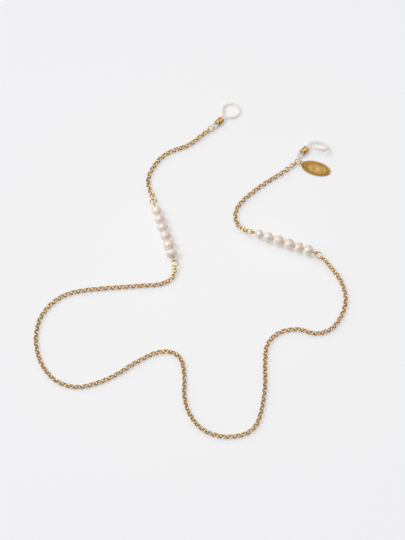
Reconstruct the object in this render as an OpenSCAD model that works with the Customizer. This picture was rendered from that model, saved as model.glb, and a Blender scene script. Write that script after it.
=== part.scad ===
// Eyeglasses chain strap: a gilt belcher chain with two pearl bars, two rubber temple loops and an oval tag.
// The strap lies on a flat surface. +Z is up, z = 0 is the surface, and the origin is under the strap's middle.

/* [Chain] */
// Outer diameter of a chain link
link_od = 3.55; // [3.5:0.01:3.6]
// Thickness of the link wire
link_wire = 0.7; // [0.65:0.01:0.71]
// Play between neighbouring links when the chain is pulled straight
link_play = 0.06; // [0.05:0.01:0.08]
// Height of the chain's middle where it lies on the surface
chain_z = 1.38; // [1.38:0.02:1.5]

/* [Jump rings] */
// Outer diameter of the rings at the pearl bars and at the temple loops
ring_od = 4.5; // [4.4:0.05:4.6]
// Thickness of the ring wire
ring_wire = 0.6; // [0.5:0.05:0.65]
// Angle of the open seam in a jump ring
ring_seam = 4; // [2:1:8]

/* [Pearl bars] */
// Thickness of the pin through the pearls
pin_wire = 0.8; // [0.7:0.05:0.8]
// Outer diameter of the eye at each end of a pin
eye_od = 3.1; // [3:0.05:3.2]
// Radial clearance between a pearl's bore and the pin
pearl_clearance = 0.05; // [0.03:0.01:0.1]
// Gap between neighbouring pearls
pearl_gap = 0.1; // [0.05:0.01:0.15]
// Height of the pins
bar_z = 3.75; // [3.7:0.05:3.9]

/* [Temple loops] */
// Thickness of the rubber cord
strand = 1.6; // [1.4:0.05:1.6]
// Outer diameter of the sliding collar
collar_od = 4.0; // [3.9:0.05:4.1]
// Length of the sliding collar
collar_length = 4.5; // [4:0.1:5]
// Half the inside width of the big loop's cord line
loop_half_width = 5.1; // [4.6:0.1:5.3]
// Distance from the collar's middle to the far end of the big loop
loop_reach = 16; // [15:0.5:17]

/* [Tag] */
// Length of the oval tag
tag_length = 18.2; // [17:0.2:19]
// Width of the oval tag
tag_width = 9.4; // [8:0.2:10]
// Thickness of the oval tag
tag_thickness = 0.7; // [0.5:0.1:0.8]
// Outer diameter of the tag's own ring
tag_ring_od = 3.6; // [3.5:0.02:3.7]
// Thickness of the tag ring's wire
tag_ring_wire = 0.54; // [0.5:0.02:0.56]

/* [Hidden] */
$fn = 48;
curve_steps = 8;          // parts that each stretch between two route points is divided into
touch = 0.08;             // gap where two parts hang on each other
twist_links = 5;          // links over which a chain turns upright towards its end
long_runs = 8;            // hinged runs of the long chain
pearls = 6;               // pearls on a bar
tube_sides = 12;
tube_steps = 5;

gilt = [0.83, 0.62, 0.30];
old_gilt = [0.72, 0.52, 0.22];
pearl_white = [0.93, 0.88, 0.84];
clear_rubber = [0.93, 0.91, 0.90, 0.6];

link_r = (link_od - link_wire) / 2;
pitch = link_od - 2 * link_wire - link_play;
ring_r = (ring_od - ring_wire) / 2;
eye_r = (eye_od - pin_wire) / 2;
tag_ring_r = (tag_ring_od - tag_ring_wire) / 2;
strand_offset = strand / 2 + 0.02;
collar_bore = 2 * strand_offset + strand + 0.08;

// Straight-line maths shared by every part
function heading(yaw) = [cos(yaw), sin(yaw), 0];
function unit(v) = v / norm(v);
function reversed(list) = [for (i = [len(list) - 1:-1:0]) list[i]];

// A smooth curve through a list of points, and its points by distance walked along it
function blend(a, b, c, d, t) =
    0.5 * (2 * b + (c - a) * t + (2 * a - 5 * b + 4 * c - d) * t * t + (3 * b - a - 3 * c + d) * t * t * t);
function smooth(p) = let (last = len(p) - 1) concat(
    [for (i = [0:last - 1], k = [0:curve_steps - 1])
        blend(p[max(i - 1, 0)], p[i], p[i + 1], p[min(i + 2, last)], k / curve_steps)],
    [p[last]]);
function walked(p) =
    [for (i = 0, s = 0; i < len(p); s = s + norm(p[min(i + 1, len(p) - 1)] - p[i]), i = i + 1) s];
function table(p) = let (s = walked(p))
    [for (axis = [0:2]) [for (i = [0:len(p) - 1]) [s[i], p[i][axis]]]];
function at(curve, s) = [for (axis = [0:2]) lookup(s, curve[axis])];
function span(curve) = curve[0][len(curve[0]) - 1][0];

// Pearl bars: middle, heading, and each pearl's length and diameter, from the upper end down
left_bar = [[-16.8, 24.0, bar_z], -73,
    [6.0, 6.2, 5.7, 6.3, 6.8, 5.6], [6.0, 6.5, 6.7, 6.6, 7.3, 7.2]];
right_bar = [[55.4, 16.6, bar_z], -21,
    [4.9, 6.4, 6.8, 6.6, 5.6, 6.2], [5.6, 6.6, 6.9, 7.0, 6.7, 7.1]];
function sum(list, n) = n <= 0 ? 0 : list[n - 1] + sum(list, n - 1);
function bar_half(bar) = (sum(bar[2], pearls) + (pearls - 1) * pearl_gap) / 2;
function pearl_at(bar, i) = bar[0]
    + (sum(bar[2], i) + i * pearl_gap + bar[2][i] / 2 - bar_half(bar)) * heading(bar[1]);
eye_reach = 0.2 + eye_od / 2;
function eye_at(bar, side) = bar[0] + side * (bar_half(bar) + eye_reach) * heading(bar[1]);
function eye_tip(bar, side) = eye_at(bar, side) + side * eye_r * heading(bar[1]);

// Rings at the pearl bars slope down from the eye to the chain. Each one has its own heading.
ring_slope = 15;
bar_ring_step = ring_r * cos(ring_slope) - (pin_wire + ring_wire) / 2 - touch;
ring_drop = 0.1 + ring_r * sin(ring_slope);
function bar_ring_at(bar, side, yaw) = eye_tip(bar, side) + bar_ring_step * heading(yaw) - [0, 0, ring_drop];
left_top_yaw = 105;
left_low_yaw = -80;
right_top_yaw = 162;
right_low_yaw = -45;
left_top_ring_at = bar_ring_at(left_bar, -1, left_top_yaw);
left_low_ring_at = bar_ring_at(left_bar, 1, left_low_yaw);
right_top_ring_at = bar_ring_at(right_bar, -1, right_top_yaw);
right_low_ring_at = bar_ring_at(right_bar, 1, right_low_yaw);

// A chain starts where its last link hooks into a ring
link_hold = (link_wire + ring_wire) / 2 + touch;
bar_chain_step = ring_r * cos(ring_slope) - link_hold + link_r - pitch / 2;
end_chain_step = ring_r - link_hold + link_r - pitch / 2 - touch;
bar_chain_z = 2.55;
end_chain_z = 2.0;
end_ring_z = 2.2;
function chain_start(ring, step, yaw, z) =
    [for (s = [0, 3]) [ring[0], ring[1], z - 0.05 * s] + (step + s) * heading(yaw)];

// Temple loops: collar middle, then tables over the distance along the loop from the collar's middle.
// The small loop is on the negative side and the big loop on the positive side.
// Tables: heading, height, roll of the loop's plane, and distance of the small loop's end.
left_loop = [[16.5, 102.6], [[-7, 42], [-3.4, 49]], [[-5, 2.3], [-3.4, 2.1], [3.4, 2.1], [12, 0.9]],
    [[-5, 75], [-3.2, 0]], 6.4];
right_loop = [[67.9, 81.9], [[-8.2, 95], [-3.4, 49], [3.4, 49], [6, 0], [9, -25]],
    [[-5, 2.3], [-3.4, 2.1], [3.4, 2.1], [9, 4.15], [17, 3.7]],
    [[-6.2, 68], [-3.2, 0], [3.4, 0], [8, -38]], 8.2];
loop_step = 0.2;
function loop_height(loop, a) = lookup(a, loop[2]);
function loop_side(loop, way) =
    [for (i = 0, p = loop[0]; i * loop_step <= 19;
        p = p + way * loop_step * [cos(lookup(way * (i + 0.5) * loop_step, loop[1])),
            sin(lookup(way * (i + 0.5) * loop_step, loop[1]))], i = i + 1)
        [p[0], p[1], loop_height(loop, way * i * loop_step)]];
function loop_axis(loop) = let (low = reversed(loop_side(loop, -1)), high = loop_side(loop, 1),
    line = concat(low, [for (i = [1:len(high) - 1]) high[i]]))
    [for (axis = [0:2]) [for (i = [0:len(line) - 1]) [(i + 1 - len(low)) * loop_step, line[i][axis]]]];
left_axis = loop_axis(left_loop);
right_axis = loop_axis(right_loop);

// Rings between the small loops and the short chains lie flat
loop_hold = (strand + ring_wire) / 2 + 2.5 * touch;
left_end_yaw = 221;
right_end_yaw = 262;
left_end_ring_at = [at(left_axis, -left_loop[4])[0], at(left_axis, -left_loop[4])[1], end_ring_z]
    + (ring_r - loop_hold) * heading(left_end_yaw);
right_end_ring_at = [at(right_axis, -right_loop[4])[0], at(right_axis, -right_loop[4])[1], end_ring_z]
    + (ring_r - loop_hold) * heading(right_end_yaw);

// Chain routes, each from one ring to the next, through round points along the way
left_short_route = concat(chain_start(left_top_ring_at, bar_chain_step, 98, bar_chain_z),
    [[-26, 56, 1.65], [-26.5, 62, chain_z], [-25, 67.5, chain_z], [-22, 73, chain_z],
    [-18.5, 77.5, chain_z], [-14, 81, chain_z], [-8.5, 83.5, chain_z], [-3.5, 85.5, chain_z],
    [1, 88.5, 1.6]],
    reversed(chain_start(left_end_ring_at, end_chain_step, 215, end_chain_z)));
right_short_route = concat(chain_start(right_top_ring_at, bar_chain_step, 150, bar_chain_z),
    [[27.2, 31, 1.65], [26, 37, chain_z], [27.5, 42.5, chain_z], [31, 47.5, chain_z],
    [35.5, 52, chain_z], [40, 56, chain_z], [45, 60, chain_z], [50, 63.5, chain_z], [55, 67, 1.6]],
    reversed(chain_start(right_end_ring_at, end_chain_step, 215, end_chain_z)));
long_route = concat(chain_start(left_low_ring_at, bar_chain_step, -90, bar_chain_z),
    [[-12.5, -7.5, 1.65], [-19, -11, chain_z], [-30, -12, chain_z], [-42, -13, chain_z],
    [-54, -14, chain_z], [-66, -15.5, chain_z], [-76, -18.5, chain_z], [-84.5, -25, chain_z],
    [-90.5, -34, chain_z], [-93, -45, chain_z], [-92.5, -56, chain_z], [-88.5, -68, chain_z],
    [-80.5, -77.5, chain_z], [-69, -81.5, chain_z], [-57, -79, chain_z], [-45, -73, chain_z],
    [-33, -64.5, chain_z], [-21, -58, chain_z], [-11.5, -58, chain_z], [-6, -64, chain_z],
    [-4.5, -76, chain_z], [-4.5, -88, chain_z], [-1.5, -99.5, chain_z], [6, -110, chain_z],
    [18, -115, chain_z], [31, -113.5, chain_z], [38.5, -106.5, chain_z], [42, -93, chain_z],
    [43.5, -79, chain_z], [43.5, -65, chain_z], [45, -52.5, chain_z], [52, -44.5, chain_z],
    [63, -42, chain_z], [74, -45, chain_z], [83.5, -41.5, chain_z], [90, -31, chain_z],
    [92, -20, chain_z], [88.5, -7.5, 1.6]],
    reversed(chain_start(right_low_ring_at, bar_chain_step, -42, bar_chain_z)));

left_short = table(smooth(left_short_route));
right_short = table(smooth(right_short_route));
long = table(smooth(long_route));
function link_count(curve) = round(span(curve) / pitch);
function run_end(curve, runs, k) = round(link_count(curve) * k / runs);

// Links lie at 45 degrees to the surface by turns, and turn upright towards the ends of a chain
function link_base(i) = i % 2 == 0 ? 45 : 135;
function upright(i) = max(0, 1 - i / twist_links);
function link_roll(i, n) = link_base(i) + 45 * upright(i)
    + (link_base(n - 1) == 45 ? 45 : -45) * upright(n - 1 - i);

module torus(r, wire) {
    rotate_extrude() translate([r, 0]) circle(d = wire);
}

// A jump ring with its open seam towards +Y
module jump_ring(r, wire) {
    rotate([0, 0, 90 + ring_seam / 2])
        rotate_extrude(angle = 360 - ring_seam) translate([r, 0]) circle(d = wire);
}

// The links from number first to number last of a chain
module chain_run(curve, first, last) {
    n = link_count(curve);
    step = span(curve) / n;
    color(gilt)
        for (i = [first:last]) {
            d = unit(at(curve, (i + 1) * step) - at(curve, i * step));
            translate((at(curve, (i + 1) * step) + at(curve, i * step)) / 2)
                rotate([link_roll(i, n), -asin(d[2]), atan2(d[1], d[0])])
                    torus(link_r, link_wire);
        }
}

module chain_part(curve, runs, k) {
    chain_run(curve, run_end(curve, runs, k), run_end(curve, runs, k + 1) - 1);
}

// A pearl with its bore along X, from an outline of its own length and diameter
module pearl(bar, i) {
    bore = pin_wire / 2 + pearl_clearance;
    half = bar[2][i] / 2;
    edge = acos(bore / (bar[3][i] / 2));
    outline = [for (t = [-edge:edge / 9:edge + 0.01]) [bar[3][i] / 2 * cos(t), half * sin(t) / sin(edge)]];
    color(pearl_white)
        translate(pearl_at(bar, i)) rotate([0, 90, bar[1]])
            rotate_extrude() polygon(outline);
}

// The pin through a bar's pearls, with a closed upright eye at each end
module bar_pin(bar) {
    reach = bar_half(bar) + eye_reach;
    color(gilt)
        translate(bar[0]) rotate([0, 0, bar[1]]) union() {
            translate([eye_r - reach, 0, 0]) rotate([0, 90, 0])
                cylinder(d = pin_wire, h = 2 * (reach - eye_r));
            for (side = [-1, 1])
                translate([side * reach, 0, 0]) rotate([90, 0, 0]) torus(eye_r, pin_wire);
        }
}

module bar_ring(place, yaw) {
    color(gilt) translate(place) rotate([0, ring_slope, yaw]) jump_ring(ring_r, ring_wire);
}

module end_ring(place, yaw) {
    color(gilt) translate(place) rotate([0, 0, yaw]) jump_ring(ring_r, ring_wire);
}

// Outline of a temple loop as [distance along it, offset from its axis], once around
function loop_half(small_end) = [
    [-small_end + 0.3, 0.85], [-small_end + 1.4, 1.5], [-small_end + 2.7, 1.3],
    [-3, strand_offset], [-1, strand_offset], [1, strand_offset], [2.8, strand_offset],
    [4.3, 1.0], [7.2, 0.68 * loop_half_width], [10.4, loop_half_width],
    [loop_reach - 2.6, 0.86 * loop_half_width], [loop_reach - 0.6, 0.42 * loop_half_width]];
function loop_outline(small_end) = let (half = loop_half(small_end)) concat(
    [[-small_end, 0]], half, [[loop_reach, 0]], [for (p = reversed(half)) [p[0], -p[1]]]);
function closed_smooth(p) = let (n = len(p))
    [for (i = [0:n - 1], k = [0:2]) blend(p[(i + n - 1) % n], p[i], p[(i + 1) % n], p[(i + 2) % n], k / 3)];

// The two strands stay side by side without crossing each other between the loop's two ends
function kept_apart(p, small_end) = abs(p[0]) < 5 && p[0] > 1 - small_end
    ? [p[0], sign(p[1]) * max(abs(p[1]), strand_offset)] : p;

// The place of an outline point, and the normal of the loop's plane there
function loop_across(loop, axis, a) = let (d = at(axis, a + 0.4) - at(axis, a - 0.4), roll = lookup(a, loop[3]),
    side = unit([-d[1], d[0], 0])) cos(roll) * side + sin(roll) * [0, 0, 1];
function loop_place(loop, axis, p) = at(axis, p[0]) + p[1] * loop_across(loop, axis, p[0]);
function loop_normal(loop, axis, p) =
    unit(cross(at(axis, p[0] + 0.4) - at(axis, p[0] - 0.4), loop_across(loop, axis, p[0])));

// A closed round tube along a ring of points, each with a normal to turn its section by
module closed_tube(line, normals, thick) {
    n = len(line);
    points = [for (i = [0:n - 1])
        let (t = unit(line[(i + 1) % n] - line[(i + n - 1) % n]),
            v = unit(normals[i] - t * (t * normals[i])), u = cross(v, t))
        for (k = [0:tube_sides - 1])
            line[i] + thick / 2 * (cos(360 * k / tube_sides) * u + sin(360 * k / tube_sides) * v)];
    faces = [for (i = [0:n - 1], k = [0:tube_sides - 1])
        let (j = (i + 1) % n, m = (k + 1) % tube_sides, s = tube_sides)
        for (f = [[i * s + k, j * s + k, i * s + m], [j * s + k, j * s + m, i * s + m]]) f];
    polyhedron(points, faces, convexity = 8);
}

module temple_loop(loop, axis) {
    outline = [for (p = closed_smooth(loop_outline(loop[4]))) kept_apart(p, loop[4])];
    color(clear_rubber)
        closed_tube([for (p = outline) loop_place(loop, axis, p)],
            [for (p = outline) loop_normal(loop, axis, p)], strand);
}

// A tube with chamfered rims that slides on both strands of a temple loop
module collar(loop) {
    rim = 0.12;
    half = collar_length / 2;
    color(gilt)
        translate([loop[0][0], loop[0][1], loop_height(loop, 0)])
            rotate([0, 90, lookup(0, loop[1])])
                rotate_extrude() polygon([[collar_bore / 2, -half], [collar_od / 2 - rim, -half],
                    [collar_od / 2, -half + rim], [collar_od / 2, half - rim],
                    [collar_od / 2 - rim, half], [collar_bore / 2, half]]);
}

// The tag hangs from the right end ring by its own upright ring
tag_ring_yaw = -25;
tag_yaw = -18;
tag_hole_r = 0.8;
tag_hole_inset = 1.6;
tag_ring_z = tag_ring_od / 2 + 0.02;
tag_lift = tag_ring_wire + 0.1;
tag_tilt = asin(tag_lift / (tag_length - tag_hole_inset));
tag_middle_z = tag_lift + tag_thickness / 2 + 0.05;
tag_ring_near = ring_r - (ring_wire + tag_ring_wire) / 2 - 1.5 * touch;
tag_ring_cross = sqrt(pow(tag_ring_r, 2) - pow(end_ring_z - tag_ring_z, 2));
tag_ring_low = sqrt(pow(tag_ring_r, 2) - pow(tag_ring_z - tag_middle_z, 2));
tag_ring_at = [right_end_ring_at[0], right_end_ring_at[1], tag_ring_z]
    + (tag_ring_near + tag_ring_cross) * heading(tag_ring_yaw);
tag_hole_at = [tag_ring_at[0], tag_ring_at[1], tag_middle_z] + tag_ring_low * heading(tag_ring_yaw);

module oval(length, width, height) {
    linear_extrude(height)
        polygon([for (t = [0:6:354]) [length / 2 * cos(t), width / 2 * sin(t)]]);
}

// The flat oval tag, with a hole near one end and a plain engraved border
module tag() {
    groove = 0.15;
    color(old_gilt)
        translate(tag_hole_at) rotate([0, tag_tilt, tag_yaw])
            difference() {
                translate([tag_length / 2 - tag_hole_inset, 0, -tag_thickness / 2])
                    oval(tag_length, tag_width, tag_thickness);
                cylinder(r = tag_hole_r, h = 2 * tag_thickness, center = true);
                translate([tag_length / 2 - tag_hole_inset + 1.1, 0, tag_thickness / 2 - groove])
                    difference() {
                        oval(tag_length - 5.4, tag_width - 2.6, 1);
                        oval(tag_length - 6.2, tag_width - 3.4, 3);
                    }
            }
}

module tag_ring() {
    color(gilt)
        translate(tag_ring_at) rotate([0, 0, tag_ring_yaw]) rotate([90, 0, 0])
            jump_ring(tag_ring_r, tag_ring_wire);
}

temple_loop(left_loop, left_axis);  // left_temple_loop
collar(left_loop);  // left_collar
end_ring(left_end_ring_at, left_end_yaw);  // left_end_ring
chain_part(left_short, 2, 0);  // left_short_chain_1
chain_part(left_short, 2, 1);  // left_short_chain_2
bar_ring(left_top_ring_at, left_top_yaw);  // left_top_ring
bar_pin(left_bar);  // left_bar_pin
bar_ring(left_low_ring_at, left_low_yaw);  // left_low_ring
for (i = [1:pearls]) pearl(left_bar, i - 1);
for (k = [1:long_runs]) chain_part(long, long_runs, k - 1);
bar_ring(right_low_ring_at, right_low_yaw);  // right_low_ring
bar_pin(right_bar);  // right_bar_pin
bar_ring(right_top_ring_at, right_top_yaw);  // right_top_ring
for (i = [1:pearls]) pearl(right_bar, i - 1);
chain_part(right_short, 2, 0);  // right_short_chain_1
chain_part(right_short, 2, 1);  // right_short_chain_2
end_ring(right_end_ring_at, right_end_yaw);  // right_end_ring
collar(right_loop);  // right_collar
temple_loop(right_loop, right_axis);  // right_temple_loop
tag_ring();
tag();
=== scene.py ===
"""An eyeglasses chain strap laid out on a pale surface.

The strap is a gilt belcher chain with a bar of freshwater pearls on each side, a clear rubber
temple loop at each end and an oval tag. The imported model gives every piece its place.
"""

from __future__ import annotations

import logging
import math
import random
from collections.abc import Callable, Sequence
from dataclasses import dataclass, field
from enum import Enum

import bmesh
import bpy
from mathutils import Matrix, Vector, noise


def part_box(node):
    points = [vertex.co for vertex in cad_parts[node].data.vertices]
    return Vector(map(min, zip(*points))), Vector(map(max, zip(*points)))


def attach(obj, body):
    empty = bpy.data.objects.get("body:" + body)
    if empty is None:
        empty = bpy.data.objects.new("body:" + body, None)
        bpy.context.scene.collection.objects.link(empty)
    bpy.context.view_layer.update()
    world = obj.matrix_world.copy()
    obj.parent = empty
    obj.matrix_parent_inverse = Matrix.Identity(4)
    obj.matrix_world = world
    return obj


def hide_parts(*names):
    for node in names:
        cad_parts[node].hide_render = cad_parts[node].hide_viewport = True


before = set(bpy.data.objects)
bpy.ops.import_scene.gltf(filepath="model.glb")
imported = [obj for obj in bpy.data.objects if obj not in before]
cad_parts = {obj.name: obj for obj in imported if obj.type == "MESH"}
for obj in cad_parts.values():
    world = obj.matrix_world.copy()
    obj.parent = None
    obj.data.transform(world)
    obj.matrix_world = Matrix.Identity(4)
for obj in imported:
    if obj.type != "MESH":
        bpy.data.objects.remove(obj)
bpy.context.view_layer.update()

LOG = logging.getLogger("strap")
MM = 0.001

Point = tuple[float, float, float]
Colour = tuple[float, float, float, float]


class Side(Enum):
    """The two ends of the strap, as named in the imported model."""

    LEFT = "left"
    RIGHT = "right"


class Slot(Enum):
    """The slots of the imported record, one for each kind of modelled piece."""

    CHAIN = "chain"
    COLLAR = "collar"
    TAG = "tag"
    PEARL = "pearl"
    RUBBER = "rubber_cord"


def box_middle(node: str) -> Vector:
    """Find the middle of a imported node's box.

    Args:
        node: The node's name.

    Returns:
        The middle, in metres.
    """
    low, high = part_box(node)
    return (low + high) / 2


def heading(degrees: float) -> Vector:
    """Give the level direction at an angle from +X."""
    return Vector((math.cos(math.radians(degrees)), math.sin(math.radians(degrees)), 0.0))


def stand(node: str, turn: float, lift: float) -> Matrix:
    """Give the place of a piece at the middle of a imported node.

    Args:
        node: The node's name.
        turn: The piece's heading, in degrees.
        lift: Its turn about Y before that, in degrees.

    Returns:
        The matrix that puts the piece there.
    """
    return (
        Matrix.Translation(box_middle(node))
        @ Matrix.Rotation(math.radians(turn), 4, "Z")
        @ Matrix.Rotation(math.radians(lift), 4, "Y")
    )


# ---- Shader work ----


class Signal:
    """A number that varies over a surface. Arithmetic on it adds Math nodes to its tree."""

    def __init__(self, sheet: FinishSheet, socket: bpy.types.NodeSocket) -> None:
        """Wrap a float socket of a finish's tree."""
        self.sheet = sheet
        self.socket = socket

    def _math(self, operation: str, first: Signal | float, second: Signal | float) -> Signal:
        """Add one Math node and wrap its result."""
        made = self.sheet.node("ShaderNodeMath", {"operation": operation}, {0: first, 1: second})
        return Signal(self.sheet, made.outputs[0])

    def __add__(self, other: Signal | float) -> Signal:
        """Add two values."""
        return self._math("ADD", self, other)

    def __radd__(self, other: float) -> Signal:
        """Add to a plain number."""
        return self._math("ADD", other, self)

    def __sub__(self, other: Signal | float) -> Signal:
        """Subtract from this value."""
        return self._math("SUBTRACT", self, other)

    def __rsub__(self, other: float) -> Signal:
        """Subtract this value from a plain number."""
        return self._math("SUBTRACT", other, self)

    def __mul__(self, other: Signal | float) -> Signal:
        """Multiply two values."""
        return self._math("MULTIPLY", self, other)

    def __truediv__(self, other: Signal | float) -> Signal:
        """Divide this value."""
        return self._math("DIVIDE", self, other)

    def __pow__(self, other: float) -> Signal:
        """Raise this value to a power."""
        return self._math("POWER", self, other)

    def cosine(self) -> Signal:
        """Take the cosine of an angle in radians."""
        return self._math("COSINE", self, 0.0)

    def size(self) -> Signal:
        """Drop the sign."""
        return self._math("ABSOLUTE", self, 0.0)

    def angle_to(self, across: Signal) -> Signal:
        """Give the angle of the point that has this height and that distance across."""
        return self._math("ARCTAN2", self, across)

    def kept(self) -> Signal:
        """Hold the value between 0 and 1."""
        made = self.sheet.node("ShaderNodeClamp", {}, {0: self, 1: 0.0, 2: 1.0})
        return Signal(self.sheet, made.outputs[0])


class FinishSheet:
    """One finish's material, with a Principled surface to set and to feed."""

    def __init__(self, name: str) -> None:
        """Start an empty material of that name."""
        self.material = bpy.data.materials.new(name)
        self.material.use_nodes = True
        self.tree = self.material.node_tree
        self.tree.nodes.clear()
        self.surface = self.node("ShaderNodeBsdfPrincipled")
        self.node("ShaderNodeOutputMaterial", {}, {"Surface": self.surface.outputs[0]})
        self.place = self.node("ShaderNodeTexCoord").outputs["Object"]

    def feed(self, socket: bpy.types.NodeSocket, value: object) -> None:
        """Link or set one input.

        Args:
            socket: The input socket.
            value: A Signal, an output socket, or a plain number, colour or vector.
        """
        if isinstance(value, Signal):
            value = value.socket
        if isinstance(value, bpy.types.NodeSocket):
            self.tree.links.new(value, socket)
        else:
            socket.default_value = value

    def node(
        self,
        kind: str,
        settings: dict[str, object] | None = None,
        inputs: dict[int | str, object] | None = None,
    ) -> bpy.types.Node:
        """Add a node.

        Args:
            kind: Its type's name.
            settings: Its own settings, set first.
            inputs: What its sockets get, by name or number.

        Returns:
            The new node.
        """
        made = self.tree.nodes.new(kind)
        for key, value in (settings or {}).items():
            setattr(made, key, value)
        for key, value in (inputs or {}).items():
            self.feed(made.inputs[key], value)
        return made

    def set(self, **values: object) -> None:
        """Set or feed the Principled surface's sockets, their spaces written as underscores."""
        for key, value in values.items():
            self.feed(self.surface.inputs[key.replace("_", " ")], value)

    def cloud(self, grain: float, detail: float = 2.0, shift: Point = (0, 0, 0)) -> Signal:
        """Give a soft random pattern.

        Args:
            grain: The size of its patches, in metres.
            detail: How many finer layers it has.
            shift: Where the pattern is read, to keep two patterns apart.

        Returns:
            The pattern, about 0 to 1.
        """
        moved = self.node("ShaderNodeMapping", {}, {"Vector": self.place, "Location": shift})
        made = self.node(
            "ShaderNodeTexNoise",
            {},
            {"Vector": moved.outputs[0], "Scale": 1 / grain, "Detail": detail},
        )
        return Signal(self, made.outputs["Fac"])

    def steps(self, value: Signal, low: float, high: float) -> Signal:
        """Stretch a value so that low becomes 0 and high becomes 1, held between them."""
        return ((value - low) / (high - low)).kept()

    def mix(self, factor: Signal, first: object, second: object) -> bpy.types.NodeSocket:
        """Mix two colours by a value."""
        made = self.node("ShaderNodeMix", {"data_type": "RGBA"}, {0: factor, 6: first, 7: second})
        return made.outputs[2]

    def relief(self, height: Signal, depth: float, strength: float = 1.0) -> None:
        """Let a value raise the surface.

        Args:
            height: The relief, about 0 to 1.
            depth: How high 1 stands, in metres.
            strength: How strongly it shows.
        """
        made = self.node(
            "ShaderNodeBump", {}, {"Strength": strength, "Distance": depth, "Height": height}
        )
        self.set(Normal=made.outputs[0])


@dataclass(frozen=True)
class GiltFinish:
    """Gold plate on brass, polished, with a little dulling and fine drawing marks, and painted
    shade darkening its low parts.

    Attributes:
        name: The material's name.
        bright: The plate's colour where it is clean.
        warm: The deeper colour where it is worn or toned.
        roughness: How dull the cleanest plate is.
        dulling: How much duller the toned patches are.
        grain: The size of the toned patches, in metres.
        deep: The colour of the painted shade on the low parts, where the chain shades itself.
        low: The height up to which the painted shade is full, in metres.
        high: The height above which no shade is painted, in metres.
    """

    name: str
    bright: Colour = (0.93, 0.68, 0.32, 1.0)
    warm: Colour = (0.62, 0.36, 0.10, 1.0)
    roughness: float = 0.10
    dulling: float = 0.12
    grain: float = 0.9 * MM
    deep: Colour = (0.25, 0.125, 0.022, 1.0)
    low: float = 0.5 * MM
    high: float = 2.2 * MM

    def mix(self) -> bpy.types.Material:
        """Make the material."""
        sheet = FinishSheet(self.name)
        patches = sheet.steps(sheet.cloud(self.grain, 3.0), 0.35, 0.68)
        marks = sheet.cloud(0.07 * MM, 2.0, (0.3, 0.1, 0.2))
        # Painted shade: the base colour darkens towards the bottom, fully below low and fading out
        # by high.
        apart = sheet.node("ShaderNodeSeparateXYZ", {}, {0: sheet.place})
        painted_shade_mask = 1 - sheet.steps(Signal(sheet, apart.outputs[2]), self.low, self.high)
        plate = sheet.mix(patches, self.bright, self.warm)
        sheet.set(
            Base_Color=sheet.mix(painted_shade_mask, plate, self.deep),
            Metallic=1.0,
            Roughness=self.roughness + patches * self.dulling + marks * 0.05,
        )
        sheet.relief(marks, 0.004 * MM, 0.5)
        return sheet.material


@dataclass(frozen=True)
class AntiqueFinish:
    """Toned satin gilt for the tag, with a rubbed rosette inside its border.

    Attributes:
        name: The material's name.
        centre: The middle of the rosette, in metres.
        turn: The heading of the tag's long axis, in degrees.
        length: The rosette's length, in metres.
        width: The rosette's width, in metres.
        petals: The number of leaves in the rosette.
        leaf_root: How far from the middle the leaves part, as a share of the rosette's radius.
        leaf_reach: How much further their tips reach.
        eye: The radius of the round middle.
        lines: The radii of the outer and the inner line.
        edge: The radius outside which nothing is raised.
        bright: The gilt's colour where it is rubbed.
        toned: The gilt's colour where it is toned.
    """

    name: str
    centre: Point
    turn: float
    length: float
    width: float
    petals: int = 10
    leaf_root: float = 0.16
    leaf_reach: float = 0.62
    eye: float = 0.24
    lines: tuple[float, float] = (0.9, 0.7)
    edge: float = 1.02
    bright: Colour = (0.90, 0.63, 0.26, 1.0)
    toned: Colour = (0.50, 0.285, 0.075, 1.0)

    def mix(self) -> bpy.types.Material:
        """Make the material."""
        sheet = FinishSheet(self.name)
        back = Matrix.Rotation(-math.radians(self.turn), 3, "Z") @ Vector(self.centre)
        local = sheet.node(
            "ShaderNodeMapping",
            {},
            {
                "Vector": sheet.place,
                "Rotation": (0.0, 0.0, -math.radians(self.turn)),
                "Location": tuple(-back),
            },
        )
        apart = sheet.node("ShaderNodeSeparateXYZ", {}, {0: local.outputs[0]})
        along = Signal(sheet, apart.outputs[0]) / (self.length / 2)
        across = Signal(sheet, apart.outputs[1]) / (self.width / 2)
        out = (along * along + across * across) ** 0.5
        petal = (across.angle_to(along) * (self.petals / 2)).cosine().size()
        leaf = sheet.steps(petal * self.leaf_reach + self.leaf_root - out, 0.0, 0.09)
        eye = sheet.steps(self.eye - out, 0.0, 0.05)
        line = 1 - sheet.steps((out - self.lines[0]).size(), 0.02, 0.07)
        ring = 1 - sheet.steps((out - self.lines[1]).size(), 0.02, 0.06)
        raised = (leaf * 0.8 + eye + line * 0.8 + ring * 0.5).kept()
        inside = sheet.steps(self.edge - out, 0.0, 0.05)
        patches = sheet.steps(sheet.cloud(2.2 * MM, 4.0), 0.36, 0.66)
        brush = sheet.cloud(0.12 * MM, 3.0, (0.2, 0.5, 0.1))
        tone = (1 - inside * raised * 0.85 - patches * 0.25).kept()
        sheet.set(
            Base_Color=sheet.mix(tone, self.bright, self.toned),
            Metallic=1.0,
            Roughness=0.34 + tone * 0.16 + brush * 0.08,
        )
        sheet.relief(raised * inside + brush * 0.08, 0.12 * MM, 0.9)
        return sheet.material


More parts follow.
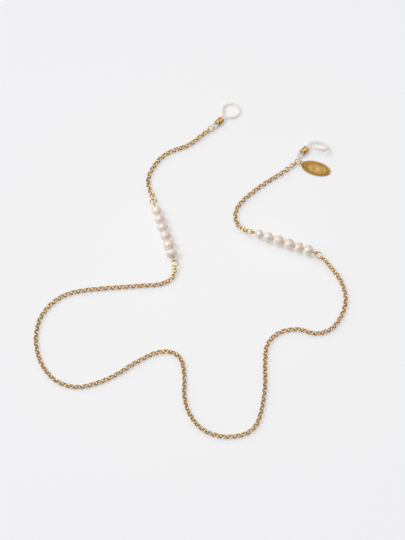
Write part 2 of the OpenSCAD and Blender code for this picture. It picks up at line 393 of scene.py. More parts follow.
@dataclass(frozen=True)
class NacreFinish:
    """Freshwater nacre: cream with a rosy cast, glossy over a soft body.

    Attributes:
        name: The material's name.
        cream: The body's colour.
        rose: The colour of its rosy patches.
        silver: The colour of its silvery haze.
    """

    name: str = "nacre"
    cream: Colour = (0.95, 0.865, 0.77, 1.0)
    rose: Colour = (0.93, 0.75, 0.665, 1.0)
    silver: Colour = (0.87, 0.82, 0.83, 1.0)

    def mix(self) -> bpy.types.Material:
        """Make the material."""
        sheet = FinishSheet(self.name)
        blush = sheet.steps(sheet.cloud(4.5 * MM, 1.5), 0.38, 0.66)
        haze = sheet.steps(sheet.cloud(1.6 * MM, 2.0, (0.4, 0.2, 0.6)), 0.42, 0.74)
        growth = sheet.cloud(0.45 * MM, 3.0, (0.7, 0.1, 0.3))
        tinted = sheet.mix(blush, self.cream, self.rose)
        sheet.set(
            Base_Color=sheet.mix(haze * 0.55, tinted, self.silver),
            Metallic=0.03,
            Roughness=0.30 + haze * 0.10,
            Subsurface_Weight=0.35,
            Subsurface_Radius=(0.0012, 0.0008, 0.0006),
            Subsurface_Scale=1.0,
            Coat_Weight=1.0,
            Coat_Roughness=0.06,
            Coat_IOR=1.75,
        )
        sheet.relief(growth, 0.03 * MM, 0.6)
        return sheet.material


@dataclass(frozen=True)
class RubberFinish:
    """Clear silicone rubber, faintly milky and warm.

    Attributes:
        name: The material's name.
        clear: The colour where it is clearest.
        milky: The colour where it is cloudy.
    """

    name: str = "clear_rubber"
    clear: Colour = (0.98, 0.925, 0.89, 1.0)
    milky: Colour = (0.95, 0.875, 0.83, 1.0)

    def mix(self) -> bpy.types.Material:
        """Make the material."""
        sheet = FinishSheet(self.name)
        milk = sheet.steps(sheet.cloud(8 * MM, 1.0), 0.25, 0.75)
        sheet.set(
            Base_Color=sheet.mix(milk, self.clear, self.milky),
            Roughness=0.55 + milk * 0.1,
            Alpha=0.48 + milk * 0.10,
            IOR=1.25,
            Transmission_Weight=0.0,
            Subsurface_Weight=0.25,
            Subsurface_Radius=(0.002, 0.0015, 0.0013),
            Subsurface_Scale=1.0,
        )
        return sheet.material


# ---- Modelling steps ----


class Bench:
    """The modelling steps that every piece shares."""

    @staticmethod
    def clear() -> None:
        """Deselect everything."""
        for item in bpy.context.selected_objects:
            item.select_set(False)

    @staticmethod
    def take(*pieces: bpy.types.Object) -> None:
        """Select these pieces alone, the first one active."""
        Bench.clear()
        for piece in pieces:
            piece.select_set(True)
        bpy.context.view_layer.objects.active = pieces[0]

    @staticmethod
    def named(name: str) -> bpy.types.Object:
        """Name the piece that was just added."""
        piece = bpy.context.object
        piece.name = name
        piece.data.name = name
        return piece

    @staticmethod
    def pick(piece: bpy.types.Object, kind: str, test: Callable[[Vector, Vector], bool]) -> None:
        """Select parts of the piece in edit mode.

        Args:
            piece: The piece being edited.
            kind: "VERT", "EDGE" or "FACE".
            test: Tells from a part's middle and normal whether it is wanted. An edge has no normal.
        """
        bpy.ops.mesh.select_mode(type=kind)
        bpy.ops.mesh.select_all(action="DESELECT")
        mesh = bmesh.from_edit_mesh(piece.data)
        if kind == "VERT":
            parts = [(part, part.co, part.normal) for part in mesh.verts]
        elif kind == "EDGE":
            parts = [
                (part, (part.verts[0].co + part.verts[1].co) / 2, Vector()) for part in mesh.edges
            ]
        else:
            parts = [(part, part.calc_center_median(), part.normal) for part in mesh.faces]
        for part, middle, normal in parts:
            if test(middle, normal):
                part.select_set(True)
        mesh.select_flush_mode()
        bmesh.update_edit_mesh(piece.data)

    @staticmethod
    def edit(piece: bpy.types.Object) -> None:
        """Open a piece for editing."""
        Bench.take(piece)
        bpy.ops.object.mode_set(mode="EDIT")

    @staticmethod
    def close() -> None:
        """Close the piece being edited, its faces pointing outwards."""
        bpy.ops.mesh.select_all(action="SELECT")
        bpy.ops.mesh.normals_make_consistent(inside=False)
        bpy.ops.object.mode_set(mode="OBJECT")

    @staticmethod
    def apply(piece: bpy.types.Object, kind: str, **settings: object) -> None:
        """Add a modifier with these settings and apply it."""
        Bench.take(piece)
        modifier = piece.modifiers.new(kind.lower(), kind)
        for key, value in settings.items():
            setattr(modifier, key, value)
        bpy.ops.object.modifier_apply(modifier=modifier.name)

    @staticmethod
    def soften(piece: bpy.types.Object, degrees: float = 40.0) -> None:
        """Shade smooth, with edges sharper than an angle kept."""
        Bench.take(piece)
        bpy.ops.object.shade_smooth_by_angle(angle=math.radians(degrees))

    @staticmethod
    def twin(piece: bpy.types.Object, name: str, place: Matrix) -> bpy.types.Object:
        """Copy a piece with its own mesh, put in its place.

        Args:
            piece: The piece to copy.
            name: The copy's name.
            place: Where the copy goes.

        Returns:
            The copy, its object at the origin.
        """
        made = piece.copy()
        made.data = piece.data.copy()
        made.name = name
        made.data.name = name
        made.data.transform(place)
        bpy.context.scene.collection.objects.link(made)
        return made

    @staticmethod
    def drop(piece: bpy.types.Object) -> None:
        """Take a pattern piece away."""
        bpy.data.objects.remove(piece, do_unlink=True)

    @staticmethod
    def settle(
        piece: bpy.types.Object, body: str, slot: Slot, dress: bpy.types.Material, *nodes: str
    ) -> None:
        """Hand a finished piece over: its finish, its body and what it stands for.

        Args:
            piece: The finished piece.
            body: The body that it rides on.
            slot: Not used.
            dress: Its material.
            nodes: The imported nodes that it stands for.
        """
        piece.data.materials.clear()
        piece.data.materials.append(dress)
        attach(piece, body)
        if nodes:
            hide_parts(*nodes)


# ---- Chain ----

LIE = 1.38 * MM  # height of the chain's middle on the surface

LEFT_SHORT_ROUTE: tuple[Point, ...] = (
    (-0.026, 0.056, 0.00165), (-0.0265, 0.062, LIE), (-0.025, 0.0675, LIE), (-0.022, 0.073, LIE),
    (-0.0185, 0.0775, LIE), (-0.014, 0.081, LIE), (-0.0085, 0.0835, LIE), (-0.0035, 0.0855, LIE),
    (0.001, 0.0885, 0.0016),
)  # fmt: skip
RIGHT_SHORT_ROUTE: tuple[Point, ...] = (
    (0.0272, 0.031, 0.00165), (0.026, 0.037, LIE), (0.0275, 0.0425, LIE), (0.031, 0.0475, LIE),
    (0.0355, 0.052, LIE), (0.04, 0.056, LIE), (0.045, 0.06, LIE), (0.05, 0.0635, LIE),
    (0.055, 0.067, 0.0016),
)  # fmt: skip
LONG_ROUTE: tuple[Point, ...] = (
    (-0.0125, -0.0075, 0.00165), (-0.019, -0.011, LIE), (-0.03, -0.012, LIE), (-0.042, -0.013, LIE),
    (-0.054, -0.014, LIE), (-0.066, -0.0155, LIE), (-0.076, -0.0185, LIE), (-0.0845, -0.025, LIE),
    (-0.0905, -0.034, LIE), (-0.093, -0.045, LIE), (-0.0925, -0.056, LIE), (-0.0885, -0.068, LIE),
    (-0.0805, -0.0775, LIE), (-0.069, -0.0815, LIE), (-0.057, -0.079, LIE), (-0.045, -0.073, LIE),
    (-0.033, -0.0645, LIE), (-0.021, -0.058, LIE), (-0.0115, -0.058, LIE), (-0.006, -0.064, LIE),
    (-0.0045, -0.076, LIE), (-0.0045, -0.088, LIE), (-0.0015, -0.0995, LIE), (0.006, -0.11, LIE),
    (0.018, -0.115, LIE), (0.031, -0.1135, LIE), (0.0385, -0.1065, LIE), (0.042, -0.093, LIE),
    (0.0435, -0.079, LIE), (0.0435, -0.065, LIE), (0.045, -0.0525, LIE), (0.052, -0.0445, LIE),
    (0.063, -0.042, LIE), (0.074, -0.045, LIE), (0.0835, -0.0415, LIE), (0.09, -0.031, LIE),
    (0.092, -0.02, LIE), (0.0885, -0.0075, 0.0016),
)  # fmt: skip


class Course:
    """A smooth line through points, read by the distance walked along it."""

    def __init__(self, points: Sequence[Vector], steps: int = 8) -> None:
        """Lay the line.

        Args:
            points: The points that it passes through.
            steps: The straight parts between two of them.
        """
        last = len(points) - 1
        self.line = [
            self.blend(
                points[max(i - 1, 0)], points[i], points[i + 1], points[min(i + 2, last)], k / steps
            )
            for i in range(last)
            for k in range(steps)
        ] + [points[last]]
        self.walked = [0.0]
        for before, after in zip(self.line, self.line[1:]):
            self.walked.append(self.walked[-1] + (after - before).length)

    @staticmethod
    def blend(a: Vector, b: Vector, c: Vector, d: Vector, t: float) -> Vector:
        """Give the point at share t between b and c on the smooth line through a, b, c and d."""
        return 0.5 * (
            2 * b
            + (c - a) * t
            + (2 * a - 5 * b + 4 * c - d) * t**2
            + (3 * b - a - 3 * c + d) * t**3
        )

    @property
    def span(self) -> float:
        """The line's whole length."""
        return self.walked[-1]

    def at(self, distance: float) -> Vector:
        """Give the point at a distance along the line."""
        for i in range(1, len(self.walked)):
            if distance <= self.walked[i]:
                share = (distance - self.walked[i - 1]) / (self.walked[i] - self.walked[i - 1])
                return self.line[i - 1].lerp(self.line[i], share)
        return self.line[-1].copy()


@dataclass
class ChainLink:
    """A belcher link, a little narrower than it is long, as a worn link is.

    Attributes:
        outer: The link's outer length.
        wire: The wire's thickness.
        slim: Its width as a share of its length.
        play: The play of each link on the next.
        flank: The share of the half width beyond which the wire is thickened.
        thicken: How much longer and higher the wire is there.
    """

    outer: float = 3.55 * MM
    wire: float = 0.7 * MM
    slim: float = 0.9
    play: float = 0.06 * MM
    flank: float = 0.78
    thicken: tuple[float, float] = (1.06, 1.12)

    @property
    def middle(self) -> float:
        """The radius of the wire's middle line."""
        return (self.outer - self.wire) / 2

    @property
    def pitch(self) -> float:
        """The chain's length for each link."""
        return self.outer - 2 * self.wire - self.play

    def build(self) -> bpy.types.Object:
        """Model the link that all others are copied from, lying flat at the origin."""
        Bench.clear()
        bpy.ops.mesh.primitive_torus_add(
            major_segments=16,
            minor_segments=6,
            major_radius=self.middle,
            minor_radius=self.wire / 2,
        )
        link = Bench.named("link_pattern")
        Bench.edit(link)
        bpy.ops.mesh.select_all(action="SELECT")
        bpy.ops.transform.resize(value=(1, self.slim, 1), center_override=(0, 0, 0))
        Bench.pick(link, "VERT", lambda at, _: abs(at.y) > self.flank * self.slim * self.middle)
        along, up = self.thicken
        bpy.ops.transform.resize(value=(along, 1, up), center_override=(0, 0, 0))
        Bench.close()
        Bench.take(link)
        bpy.ops.object.shade_smooth()
        return link


@dataclass
class ChainEnd:
    """Where a stretch of chain hooks into a ring.

    Attributes:
        ring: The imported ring's name.
        step: The distance from the ring's middle to the chain's first point.
        leaving: The heading in which the chain leaves the ring, in degrees.
        height: The first link's height.
        fall: How much lower the chain lies for each step away from the ring.
        reach: The distance between the first two points.
    """

    ring: str
    step: float
    leaving: float
    height: float
    fall: float = 0.05
    reach: float = 3 * MM

    def points(self) -> list[Vector]:
        """Give the chain's first two points at this ring."""
        at = box_middle(self.ring)
        way = heading(self.leaving)
        return [
            Vector((at.x, at.y, self.height - self.fall * out)) + (self.step + out) * way
            for out in (0.0, self.reach)
        ]


@dataclass
class ChainStretch:
    """One stretch of chain from ring to ring, in the runs that turn on each other.

    Attributes:
        nodes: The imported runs, in order.
        start: The ring that it starts from.
        route: The round points along its way.
        end: The ring that it ends in.
        link: The link that it is made of.
        twist_links: The links over which it turns upright towards an end.
        lean: How steeply it leans over where it runs along X, as a tangent.
        loose_roll: How far a link may be rolled from its place, in degrees.
        loose_turn: How far a link may be turned from its place, in degrees.
    """

    nodes: tuple[str, ...]
    start: ChainEnd
    route: tuple[Point, ...]
    end: ChainEnd
    link: ChainLink
    twist_links: int = 5
    lean: float = 0.577
    loose_roll: float = 4.0
    loose_turn: float = 5.0

    def __post_init__(self) -> None:
        """Work out the course and the number of links."""
        points = self.start.points() + [Vector(p) for p in self.route] + self.end.points()[::-1]
        self.course = Course(points)
        self.count = math.floor(self.course.span / self.link.pitch + 0.5)
        self.step = self.course.span / self.count

    def over(self, index: int, way: Vector) -> float:
        """Give the angle by which the chain leans over at a link, in degrees."""
        last = self.count - 1
        free = min(1.0, index / self.twist_links, (last - index) / self.twist_links)
        return free * math.degrees(math.atan(self.lean * way.x))

    def roll(self, index: int) -> float:
        """Give the turn of a link about the chain, in degrees."""
        last = self.count - 1
        slant = 45 if index % 2 == 0 else 135
        closing = 45 if last % 2 == 0 else -45
        upright = max(0.0, 1 - index / self.twist_links)
        upright_end = max(0.0, 1 - (last - index) / self.twist_links)
        return slant + 45 * upright + closing * upright_end

    def link_place(self, index: int, loose: random.Random) -> Matrix:
        """Give a link's place.

        Args:
            index: The link's number along the stretch.
            loose: The source of each link's own small turn.

        Returns:
            The matrix that puts the pattern link there.
        """
        before = self.course.at(index * self.step)
        after = self.course.at((index + 1) * self.step)
        way = (after - before).normalized()
        over = self.over(index, way)
        own_roll = loose.uniform(-self.loose_roll, self.loose_roll)
        roll = math.radians(self.roll(index) + over + own_roll)
        rise = math.sin(math.radians(45 + abs(over))) - math.sin(math.radians(45))
        lift = Vector((0, 0, rise * self.link.slim * self.link.middle))
        return (
            Matrix.Translation((before + after) / 2 + lift)
            @ Matrix.Rotation(math.atan2(way.y, way.x), 4, "Z")
            @ Matrix.Rotation(-math.asin(way.z), 4, "Y")
            @ Matrix.Rotation(roll, 4, "X")
            @ Matrix.Rotation(
                math.radians(loose.uniform(-self.loose_turn, self.loose_turn)), 4, "Z"
            )
        )

    def build(self, pattern: bpy.types.Object, dress: bpy.types.Material) -> None:
        """Args:
            pattern: The link that all others are copied from.
            dress: The chain's material.
        """
        loose = random.Random(len(self.nodes) * 1000 + self.count)
        for number, node in enumerate(self.nodes):
            first = math.floor(self.count * number / len(self.nodes) + 0.5)
            after = math.floor(self.count * (number + 1) / len(self.nodes) + 0.5)
            links = [
                Bench.twin(pattern, f"{node}_links", self.link_place(i, loose))
                for i in range(first, after)
            ]
            Bench.take(*links)
            bpy.ops.object.join()
            run = Bench.named(f"{node}_links")
            Bench.settle(run, node, Slot.CHAIN, dress, node)
            path = [self.course.at(i * self.step) for i in range(first, after + 1)]
            (after - first) * self.step
            LOG.info("%s: %d links, %.1f mm", node, after - first, (after - first) * self.step / MM)


@dataclass
class Chains:
    """All three stretches of chain.

    Attributes:
        link: The link that they are made of.
        ring_outer: The outer diameter of the rings that they hook into.
        ring_wire: The thickness of the rings' wire.
        slope: The slope of the rings at the pearl bars, in degrees.
        touch: The gap where two pieces hang on each other.
        bar_height: The height of the first link at a pearl bar.
        end_height: The height of the last link at a temple loop.
    """

    link: ChainLink = field(default_factory=ChainLink)
    ring_outer: float = 4.5 * MM
    ring_wire: float = 0.6 * MM
    slope: float = 15.0
    touch: float = 0.08 * MM
    bar_height: float = 2.55 * MM
    end_height: float = 2.0 * MM

    def stretches(self) -> list[ChainStretch]:
        """Give the long stretch and the two short ones."""
        ring = (self.ring_outer - self.ring_wire) / 2
        hold = (self.link.wire + self.ring_wire) / 2 + self.touch
        hooked = self.link.middle - self.link.pitch / 2 - hold
        bar = ring * math.cos(math.radians(self.slope)) + hooked
        end = ring + hooked - self.touch
        return [
            ChainStretch(
                tuple(f"long_chain_{k}" for k in range(1, 9)),
                ChainEnd("left_low_ring", bar, -90, self.bar_height),
                LONG_ROUTE,
                ChainEnd("right_low_ring", bar, -42, self.bar_height),
                self.link,
            ),
            ChainStretch(
                ("left_short_chain_1", "left_short_chain_2"),
                ChainEnd("left_top_ring", bar, 98, self.bar_height),
                LEFT_SHORT_ROUTE,
                ChainEnd("left_end_ring", end, 215, self.end_height),
                self.link,
            ),
            ChainStretch(
                ("right_short_chain_1", "right_short_chain_2"),
                ChainEnd("right_top_ring", bar, 150, self.bar_height),
                RIGHT_SHORT_ROUTE,
                ChainEnd("right_end_ring", end, 215, self.end_height),
                self.link,
            ),
        ]

    def build(self, dress: bpy.types.Material) -> None:
        """Model every stretch from one pattern link."""
        pattern = self.link.build()
        for stretch in self.stretches():
            stretch.build(pattern, dress)
        Bench.drop(pattern)


# ---- Pearl bars ----


@dataclass
class Pearl:
    """A drilled freshwater pearl, not quite round.

    Attributes:
        node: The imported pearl's name.
        turn: The heading of its bore, in degrees.
        length: Its length along the bore.
        width: Its diameter.
        bore: The bore's radius.
        lumps: How far its skin stands in or out.
        rings: The number of rings of faces from end to end.
    """

    node: str
    turn: float
    length: float
    width: float
    bore: float = 0.45 * MM
    lumps: float = 0.16 * MM
    rings: int = 20

    def build(self, dress: bpy.types.Material) -> None:
        """Model the pearl in its place on the pin."""
        Bench.clear()
        bpy.ops.mesh.primitive_uv_sphere_add(segments=32, ring_count=self.rings, radius=1.0)
        pearl = Bench.named(f"{self.node}_skin")
        rim = math.cos(math.pi / self.rings)
        Bench.edit(pearl)
        Bench.pick(pearl, "VERT", lambda at, _: abs(at.z) > 0.5 * (1 + rim))
        bpy.ops.mesh.delete(type="VERT")
        Bench.pick(pearl, "VERT", lambda at, _: abs(at.z) > rim - 0.001)
        narrow = self.bore / (self.width / 2) / math.sin(math.pi / self.rings)
        bpy.ops.transform.resize(value=(narrow, narrow, 1), center_override=(0, 0, 0))
        Bench.pick(pearl, "EDGE", lambda at, _: abs(at.z) > rim - 0.001)
        bpy.ops.mesh.bridge_edge_loops()
        bpy.ops.mesh.select_all(action="SELECT")
        bpy.ops.transform.resize(
            value=(self.width / 2, self.width / 2, self.length / 2 / rim),
            center_override=(0, 0, 0),
        )
        Bench.close()
        self.roughen(pearl)
        pearl.data.transform(stand(self.node, self.turn, 90))
        Bench.soften(pearl, 60)
        Bench.settle(pearl, self.node, Slot.PEARL, dress, self.node)

    def roughen(self, pearl: bpy.types.Object) -> None:
        """Move the skin in and out a little, least near the bore, differently on each pearl."""
        seed = Vector((sum(map(ord, self.node)) * 0.37, self.width / MM, self.length / MM))
        for spot in pearl.data.vertices:
            out = spot.co.xy.length
            if out < 1.2 * self.bore:
                continue
            share = min(1.0, out / (self.width / 2)) ** 2
            swell = noise.noise(spot.co / (2.6 * MM) + seed) * 1.1
            groove = noise.noise(Vector((0, 0, spot.co.z / (0.9 * MM))) + seed) * 0.35
            spot.co.xy *= 1 + share * self.lumps * (swell + groove - 0.05) / out


@dataclass
class PearlBar:
    """Six pearls on an eye pin, with a jump ring at each end.

    Attributes:
        side: The end of the strap that it belongs to.
        turn: The pin's heading, in degrees.
        lengths: The pearls' lengths, from the upper end down.
        widths: Their diameters.
    """

    side: Side
    turn: float
    lengths: tuple[float, ...]
    widths: tuple[float, ...]

    def build(self, nacre: bpy.types.Material, wire: bpy.types.Material) -> None:
        """Model the pearls and dress the pin and its rings.

        Args:
            nacre: The pearls' material.
            wire: The material of the pin and the rings.
        """
        for i, (length, width) in enumerate(zip(self.lengths, self.widths), start=1):
            Pearl(f"{self.side.value}_pearl_{i}", self.turn, length * MM, width * MM).build(nacre)
        for node in ("bar_pin", "top_ring", "low_ring"):
            dress_node(f"{self.side.value}_{node}", wire)
        LOG.info("%s pearl bar: %d pearls", self.side.value, len(self.lengths))


def dress_node(node: str, dress: bpy.types.Material) -> None:
    """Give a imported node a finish.

    Args:
        node: The node's name.
        dress: Its material.
    """
    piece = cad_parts[node]
    piece.data.materials.clear()
    piece.data.materials.append(dress)


# ---- Temple loops ----


@dataclass
class Collar:
    """The polished tube that slides on both strands of a temple loop.

    Attributes:
        node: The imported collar's name.
        turn: The heading of its bore, in degrees.
        outer: Its outer diameter.
        length: Its length.
        wall: Its wall's thickness.
        ridge: Where each groove begins, from the middle, as a share of the length.
        groove: Where each groove is deepest.
        groove_width: The groove's width as a share of the outer diameter.
        rounding: How far its rims are rounded.
    """

    node: str
    turn: float
    outer: float = 4.0 * MM
    length: float = 4.5 * MM
    wall: float = 0.24 * MM
    ridge: float = 0.26
    groove: float = 0.34
    groove_width: float = 0.965
    rounding: float = 0.11 * MM

    def build(self, dress: bpy.types.Material) -> None:
        """Model the collar in its place."""
        Bench.clear()
        bpy.ops.mesh.primitive_cylinder_add(
            vertices=40, radius=self.outer / 2, depth=self.length, end_fill_type="NOTHING"
        )
        collar = Bench.named(f"{self.node}_tube")
        Bench.edit(collar)
        for share in (-self.groove, -self.ridge, self.ridge, self.groove):
            bpy.ops.mesh.select_all(action="SELECT")
            bpy.ops.mesh.bisect(plane_co=(0, 0, share * self.length), plane_no=(0, 0, 1))
        deepest = self.groove * self.length
        Bench.pick(collar, "VERT", lambda at, _: abs(abs(at.z) - deepest) < 0.01 * MM)
        bpy.ops.transform.resize(
            value=(self.groove_width, self.groove_width, 1), center_override=(0, 0, 0)
        )
        Bench.close()
        Bench.apply(collar, "SOLIDIFY", thickness=self.wall, offset=-1.0)
        Bench.apply(
            collar, "BEVEL", width=self.rounding, segments=3, limit_method="ANGLE",
            angle_limit=math.radians(50),
        )  # fmt: skip
        collar.data.transform(stand(self.node, self.turn, 90))
        Bench.soften(collar, 35)
        Bench.settle(collar, self.node, Slot.COLLAR, dress, self.node)


@dataclass
class TempleLoop:
    """A closed cord of clear rubber, crossed through its collar, with the ring that holds it.

    Attributes:
        side: The end of the strap that it belongs to.
        turn: The heading from the collar to the big loop, in degrees.
        free_from: The distance from the collar's middle beyond which the cord isn't squeezed.
        swell: How far the cord's skin stands out where it isn't squeezed.
    """

    side: Side
    turn: float = 49.0
    free_from: float = 5.0 * MM
    swell: float = 0.2 * MM

    def build(
        self, rubber: bpy.types.Material, polished: bpy.types.Material, wire: bpy.types.Material
    ) -> None:
        """Model the cord and its collar and dress the end ring.

        Args:
            rubber: The cord's material.
            polished: The collar's material.
            wire: The ring's material.
        """
        node = f"{self.side.value}_temple_loop"
        cord = Bench.twin(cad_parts[node], f"{node}_cord", Matrix.Identity(4))
        cord.parent = None
        for key in [k for k in cord.keys() if k.startswith("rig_")]:
            del cord[key]
        Bench.edit(cord)
        bpy.ops.mesh.select_all(action="SELECT")
        bpy.ops.mesh.remove_doubles(threshold=0.002 * MM)
        bpy.ops.mesh.tris_convert_to_quads(
            face_threshold=math.radians(60), shape_threshold=math.radians(60)
        )
        held = box_middle(f"{self.side.value}_collar")
        way = heading(self.turn)
        Bench.pick(cord, "VERT", lambda at, _: (at - held).dot(way) > self.free_from)
        bpy.ops.transform.shrink_fatten(value=self.swell)
        Bench.close()
        Bench.apply(cord, "SUBSURF", levels=2, render_levels=2)
        Bench.take(cord)
        bpy.ops.object.shade_smooth()
        Bench.settle(cord, node, Slot.RUBBER, rubber, node)
        Collar(f"{self.side.value}_collar", self.turn).build(polished)
        dress_node(f"{self.side.value}_end_ring", wire)
        LOG.info("%s temple loop", self.side.value)


# ---- Tag ----


@dataclass
class OvalTag:
    """The flat oval tag: a raised rim, a sunk border line and a rosette.

    Attributes:
        length: Its length.
        width: Its width.
        thick: Its thickness.
        turn: The heading of its long axis, in degrees.
        tilt: How far its hole end is lifted, in degrees.
        hole: The hole's radius.
        hole_inset: The hole's distance from the end.
        shift: How far the border stands off the middle, away from the hole.
        rim: The width of the raised rim.
        rim_fall: The width of the slope inside the rim.
        sunk: How much lower the face is than the rim.
        margin: The width of the plain face between the rim and the border line.
        bank: The width of each side of the border line.
        line: The width of the border line's floor.
        line_depth: How deep the border line is.
        rosette_margin: How much shorter and narrower than the tag the rosette is.
    """

    length: float = 18.2 * MM
    width: float = 9.4 * MM
    thick: float = 0.7 * MM
    turn: float = -18.0
    tilt: float = 2.21
    hole: float = 0.8 * MM
    hole_inset: float = 1.6 * MM
    shift: float = 1.1 * MM
    rim: float = 0.42 * MM
    rim_fall: float = 0.18 * MM
    sunk: float = 0.07 * MM
    margin: float = 0.5 * MM
    bank: float = 0.12 * MM
    line: float = 0.20 * MM
    line_depth: float = 0.10 * MM
    rosette_margin: tuple[float, float] = (6.6 * MM, 3.8 * MM)

    def finish(self) -> bpy.types.Material:
        """Make the tag's own finish, its rosette in the middle of the border."""
        centre = box_middle("tag") + self.shift * heading(self.turn)
        shorter, narrower = self.rosette_margin
        return AntiqueFinish(
            "antique_gilt", tuple(centre), self.turn, self.length - shorter, self.width - narrower
        ).mix()

    def build(self, wire: bpy.types.Material) -> None:
        """Model the tag in its place and dress its ring."""
        Bench.clear()
        bpy.ops.mesh.primitive_cylinder_add(vertices=96, radius=1.0, depth=1.0)
        tag = Bench.named("tag_plate")
        Bench.edit(tag)
        bpy.ops.mesh.select_all(action="SELECT")
        bpy.ops.transform.resize(
            value=(self.length / 2, self.width / 2, self.thick), center_override=(0, 0, 0)
        )
        Bench.pick(tag, "FACE", lambda at, normal: normal.z > 0.9)
        bpy.ops.mesh.inset(thickness=self.rim)
        bpy.ops.mesh.inset(thickness=self.rim_fall, depth=-self.sunk)
        bpy.ops.mesh.inset(thickness=self.margin)
        bpy.ops.transform.translate(value=(self.shift * 0.85, 0, 0))
        bpy.ops.transform.resize(value=(0.9, 1, 1))
        bpy.ops.mesh.inset(thickness=self.bank, depth=-self.line_depth)
        bpy.ops.mesh.inset(thickness=self.line)
        bpy.ops.mesh.inset(thickness=self.bank, depth=self.line_depth)
        Bench.close()
        Bench.clear()
        bpy.ops.mesh.primitive_cylinder_add(
            vertices=32,
            radius=self.hole,
            depth=4 * self.thick,
            location=(self.hole_inset - self.length / 2, 0, 0),
        )
        punch = Bench.named("hole_punch")
        Bench.apply(tag, "BOOLEAN", operation="DIFFERENCE", object=punch, solver="EXACT")
        Bench.drop(punch)
        Bench.apply(
            tag, "BEVEL", width=0.08 * MM, segments=2, limit_method="ANGLE",
            angle_limit=math.radians(60), use_clamp_overlap=True,
        )  # fmt: skip
        tag.data.transform(stand("tag", self.turn, self.tilt))
        Bench.soften(tag, 30)
        Bench.settle(tag, "tag", Slot.TAG, self.finish(), "tag")
        dress_node("tag_ring", wire)
        LOG.info("oval tag: %.1f by %.1f mm", self.length / MM, self.width / MM)


# ---- Studio ----


@dataclass(frozen=True)
class Softbox:
    """A round soft lamp.

    Attributes:
        name: Its name.
        place: Where it stands.
        size: Its width.
        power: Its power in watts.
        tint: Its colour.
    """

    name: str
    place: Point
    size: float
    power: float
    tint: Point


KEY = Softbox("key_softbox", (-1.15, -0.05, 1.9), 0.9, 19.0, (0.90, 0.94, 1.0))
FILL = Softbox("fill_softbox", (1.7, 0.3, 1.4), 1.6, 9.0, (1.0, 0.90, 0.82))


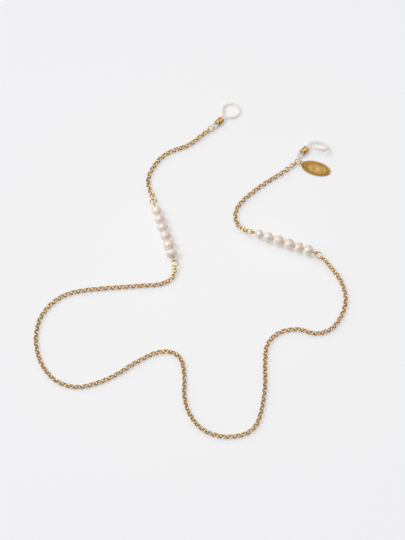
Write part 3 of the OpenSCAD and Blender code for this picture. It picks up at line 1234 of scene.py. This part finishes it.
@dataclass
class Studio:
    """The camera, the lights and the pale surface.

    Attributes:
        middle: The point that the camera looks at.
        elevation: The camera's angle above the surface, in degrees.
        lens: The camera's lens, in millimetres.
        view_height: The height of the view at the strap.
        sensor: The camera's sensor width, in millimetres.
        bright_way: The direction from which the walls give the most light.
        wall_dark: The walls' colour on the dark side.
        wall_bright: The walls' colour on the bright side.
        wall_span: Where the walls begin and stop brightening, from 0 to 1 towards bright_way.
        wall_strength: How strongly the walls shine.
    """

    middle: Point = (0.0063, -0.001, 0.0013)
    elevation: float = 60.0
    lens: float = 500.0
    view_height: float = 0.324
    sensor: float = 36.0
    bright_way: Point = (-0.45, 0.15, 0.88)
    wall_dark: Colour = (0.035, 0.028, 0.022, 1.0)
    wall_bright: Colour = (1.0, 0.965, 0.92, 1.0)
    wall_span: tuple[float, float] = (0.42, 0.80)
    wall_strength: float = 0.95

    def place_camera(self) -> None:
        """Put the camera in its place."""
        data = bpy.data.cameras.new("camera")
        data.lens = self.lens
        data.sensor_width = self.sensor
        data.clip_end = 20.0
        camera = bpy.data.objects.new("camera", data)
        tilt = math.radians(self.elevation)
        away = self.view_height * self.lens / self.sensor
        camera.location = Vector(self.middle) + away * Vector((0, -math.cos(tilt), math.sin(tilt)))
        camera.rotation_euler = (math.radians(90) - tilt, 0, 0)
        bpy.context.scene.collection.objects.link(camera)
        bpy.context.scene.camera = camera

    def hang(self, softbox: Softbox) -> None:
        """Add a softbox that faces the strap."""
        data = bpy.data.lights.new(softbox.name, "AREA")
        data.shape = "DISK"
        data.size = softbox.size
        data.energy = softbox.power
        data.color = softbox.tint
        lamp = bpy.data.objects.new(softbox.name, data)
        lamp.location = softbox.place
        facing = Vector(self.middle) - Vector(softbox.place)
        lamp.rotation_euler = facing.to_track_quat("-Z", "Y").to_euler()
        bpy.context.scene.collection.objects.link(lamp)

    def light(self) -> None:
        """Set up the soft studio light."""
        self.hang(KEY)
        self.hang(FILL)
        world = bpy.data.worlds.new("studio")
        world.use_nodes = True
        tree = world.node_tree
        back = tree.nodes["Background"]
        across = tree.nodes.new("ShaderNodeVectorMath")
        across.operation = "DOT_PRODUCT"
        across.inputs[1].default_value = self.bright_way
        tree.links.new(tree.nodes.new("ShaderNodeTexCoord").outputs["Generated"], across.inputs[0])
        walls = tree.nodes.new("ShaderNodeValToRGB")
        colours = (self.wall_dark, self.wall_bright)
        for stop, place, colour in zip(walls.color_ramp.elements, self.wall_span, colours):
            stop.position = place
            stop.color = colour
        tree.links.new(across.outputs["Value"], walls.inputs[0])
        tree.links.new(walls.outputs[0], back.inputs["Color"])
        back.inputs["Strength"].default_value = self.wall_strength
        bpy.context.scene.world = world
        bpy.context.scene.view_settings.view_transform = "Standard"

    def lay_floor(self) -> None:
        """Lay the pale surface that the strap lies on, glowing with painted light that is brightest
        round the middle.
        """
        Bench.clear()
        bpy.ops.mesh.primitive_plane_add(size=6.0, location=(0, 0, -0.02 * MM))
        floor = Bench.named("floor")
        sheet = FinishSheet("pale_surface")
        apart = sheet.node("ShaderNodeSeparateXYZ", {}, {0: sheet.place})
        # Painted light: the surface glows, thinning the cast shadows; the glow is whitest round the
        # middle and dimmer and bluer further out.
        out = Signal(sheet, apart.outputs[0]) ** 2.0 + Signal(sheet, apart.outputs[1]) ** 2.0
        far = sheet.steps(out**0.5, 0.02, 0.18)
        sheet.set(
            Base_Color=(0.575, 0.58, 0.59, 1.0),
            Roughness=0.7,
            Specular_IOR_Level=0.2,
            Emission_Color=sheet.mix(far, (0.985, 0.995, 1.0, 1.0), (0.93, 0.935, 0.98, 1.0)),
            Emission_Strength=0.37,
        )
        floor.data.materials.append(sheet.material)


def main() -> None:
    """Build the whole strap, the chain first."""
    logging.basicConfig(level=logging.INFO, format="%(name)s: %(message)s")
    studio = Studio()
    studio.place_camera()
    chain = GiltFinish("gilt_chain").mix()
    wire = GiltFinish("gilt_wire", roughness=0.13, dulling=0.12).mix()
    # Its low and high heights spread the painted shade over the collar's lower half, standing in
    # for dark reflections along its sides.
    polished = GiltFinish(
        "gilt_polish", bright=(0.93, 0.66, 0.28, 1.0), roughness=0.05, dulling=0.05, grain=2 * MM,
        low=1.9 * MM, high=3.7 * MM,
    ).mix()
    Chains().build(chain)
    nacre = NacreFinish().mix()
    PearlBar(
        Side.LEFT, -73, (6.0, 6.2, 5.7, 6.3, 6.8, 5.6), (6.0, 6.5, 6.7, 6.6, 7.3, 7.2)
    ).build(nacre, wire)
    PearlBar(
        Side.RIGHT, -21, (4.9, 6.4, 6.8, 6.6, 5.6, 6.2), (5.6, 6.6, 6.9, 7.0, 6.7, 7.1)
    ).build(nacre, wire)
    rubber = RubberFinish().mix()
    for side in Side:
        TempleLoop(side).build(rubber, polished, wire)
    OvalTag().build(wire)
    studio.lay_floor()
    studio.light()


if __name__ == "__main__":
    main()
